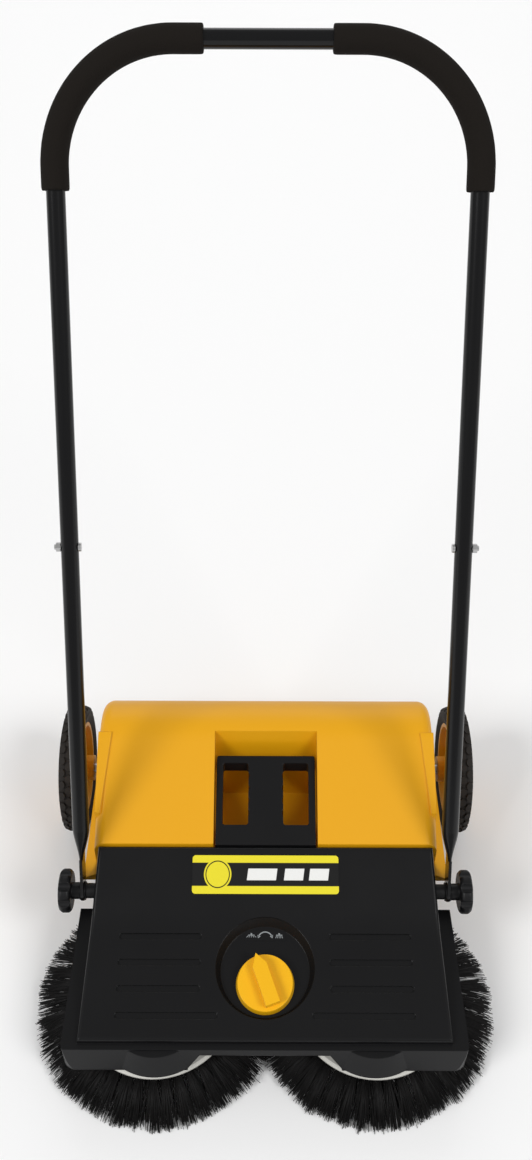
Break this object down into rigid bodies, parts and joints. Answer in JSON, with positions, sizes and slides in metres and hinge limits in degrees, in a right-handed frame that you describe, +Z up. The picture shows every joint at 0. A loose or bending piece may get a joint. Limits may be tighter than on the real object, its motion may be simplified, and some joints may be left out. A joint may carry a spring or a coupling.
{
  "type": "walk-behind sweeper",
  "caption": "Push sweeper with twin disc brushes under a black hood, a yellow lift-off dirt container, two wheels and a fold-down tube handle with foam grips.",
  "frame": {"origin": "centre of the bounding box in X and Y, on the floor", "axes": "+Z up, -Y the way it is pushed (brushes in front), +X the right-hand side seen from the front of the picture"},
  "size_m": [0.545, 0.6982, 0.9688],
  "materials": {
    "shell_black": "moulded satin black",
    "frame_black": "moulded, fine grain",
    "yellow": "moulded satin yellow",
    "tyre": "moulded tread",
    "tube_black": "gloss black paint on steel tube",
    "foam": "closed-cell foam",
    "knob_black": "moulded, fine grain",
    "plate_light": "moulded, off-white",
    "gear_light": "moulded, natural",
    "bristle_black": "stiff filament tufts",
    "steel": "zinc plated",
    "bush_bronze": "sintered",
    "belt_rubber": "smooth",
    "label": "printed sheet, yellow and black bands",
    "scale": "printed sheet, grey marks"
  },
  "bodies": {
    "root": {"chassis": "frame_black", "hood": "shell_black", "label_plate": "label", "scale_plate": "scale", "carry_handle": "shell_black", "hood_screws": "steel", "brush_spindles": "steel", "brush_screws": "steel", "axle_bushes": "bush_bronze", "shaft_bushes": "bush_bronze", "pivot_washers": "steel", "arm_pin": "steel", "left_drive_belt": "belt_rubber", "right_drive_belt": "belt_rubber"},
    "container": {"container": "yellow", "dust_lip": "belt_rubber", "lip_screws": "steel"},
    "height_adjuster": {"height_knob": "yellow", "knob_spindle": "steel", "height_cam": "gear_light"},
    "roller_arm": {"roller_arm": "frame_black", "roller_pin": "steel"},
    "front_roller": {"front_roller": "frame_black"},
    "handle": {"upper_tube": "tube_black", "joint_bolts": "steel", "joint_nuts": "steel", "left_lower_tube": "tube_black", "right_lower_tube": "tube_black", "left_grip": "foam", "right_grip": "foam"},
    "left_wheel": {"left_tyre": "tyre", "left_wheel_hub": "yellow", "left_wheel_cap": "knob_black", "left_wheel_axle": "steel", "left_wheel_pulley": "gear_light"},
    "left_shaft": {"left_cross_shaft": "steel", "left_shaft_pulley": "gear_light", "left_pinion": "gear_light"},
    "left_brush": {"left_brush_plate": "plate_light", "left_crown_gear": "gear_light", "left_brush_bush": "bush_bronze", "left_bristles": "bristle_black"},
    "left_star": {"left_star_knob": "knob_black", "left_star_stud": "steel"},
    "right_wheel": {"right_tyre": "tyre", "right_wheel_hub": "yellow", "right_wheel_cap": "knob_black", "right_wheel_axle": "steel", "right_wheel_pulley": "gear_light"},
    "right_shaft": {"right_cross_shaft": "steel", "right_shaft_pulley": "gear_light", "right_pinion": "gear_light"},
    "right_brush": {"right_brush_plate": "plate_light", "right_crown_gear": "gear_light", "right_brush_bush": "bush_bronze", "right_bristles": "bristle_black"},
    "right_star": {"right_star_knob": "knob_black", "right_star_stud": "steel"}
  },
  "joints": [
    {"name": "handle_fold", "type": "hinge", "parent": "root", "child": "handle", "pos_m": [0, -0.12868, 0.1188], "axis": [1, 0, 0], "range_deg": [-20, 112]},
    {"name": "container_lift", "type": "slide", "parent": "root", "child": "container", "axis": [0, 0.9397, 0.342], "range_m": [0, 0.26]},
    {"name": "left_wheel_spin", "type": "hinge", "parent": "root", "child": "left_wheel", "pos_m": [-0.2555, 0.08282, 0.0845], "axis": [1, 0, 0], "continuous": true},
    {"name": "left_shaft_spin", "type": "hinge", "parent": "root", "child": "left_shaft", "pos_m": [-0.13, -0.22748, 0.07447], "axis": [1, 0, 0], "continuous": true},
    {"name": "left_brush_spin", "type": "hinge", "parent": "root", "child": "left_brush", "pos_m": [-0.129, -0.22118, 0.0146], "axis": [0, -0.1045, 0.9945], "continuous": true},
    {"name": "left_star_turn", "type": "hinge", "parent": "root", "child": "left_star", "pos_m": [-0.238, -0.12868, 0.1188], "axis": [1, 0, 0], "continuous": true},
    {"name": "right_wheel_spin", "type": "hinge", "parent": "root", "child": "right_wheel", "pos_m": [0.2555, 0.08282, 0.0845], "axis": [1, 0, 0], "continuous": true},
    {"name": "right_shaft_spin", "type": "hinge", "parent": "root", "child": "right_shaft", "pos_m": [0.13, -0.22748, 0.07447], "axis": [1, 0, 0], "continuous": true},
    {"name": "right_brush_spin", "type": "hinge", "parent": "root", "child": "right_brush", "pos_m": [0.129, -0.22118, 0.0146], "axis": [0, -0.1045, 0.9945], "continuous": true},
    {"name": "right_star_turn", "type": "hinge", "parent": "root", "child": "right_star", "pos_m": [0.238, -0.12868, 0.1188], "axis": [1, 0, 0], "continuous": true},
    {"name": "knob_turn", "type": "hinge", "parent": "root", "child": "height_adjuster", "pos_m": [0, -0.23918, 0.10285], "axis": [0, -0.2589, 0.9659], "range_deg": [-70, 30]},
    {"name": "roller_arm_tilt", "type": "hinge", "parent": "root", "child": "roller_arm", "pos_m": [0, -0.18718, 0.074], "axis": [1, 0, 0], "range_deg": [-1.5, 3.5]},
    {"name": "roller_spin", "type": "hinge", "parent": "roller_arm", "child": "front_roller", "pos_m": [0, -0.11718, 0.017], "axis": [1, 0, 0], "continuous": true}
  ],
  "couplings": [
    {"joint": "roller_arm_tilt", "follows": "knob_turn", "ratio": -0.05},
    {"joint": "left_shaft_spin", "follows": "left_wheel_spin", "ratio": 2.6667},
    {"joint": "left_brush_spin", "follows": "left_wheel_spin", "ratio": 1.3333},
    {"joint": "right_shaft_spin", "follows": "right_wheel_spin", "ratio": 2.6667},
    {"joint": "right_brush_spin", "follows": "right_wheel_spin", "ratio": -1.3333}
  ]
}
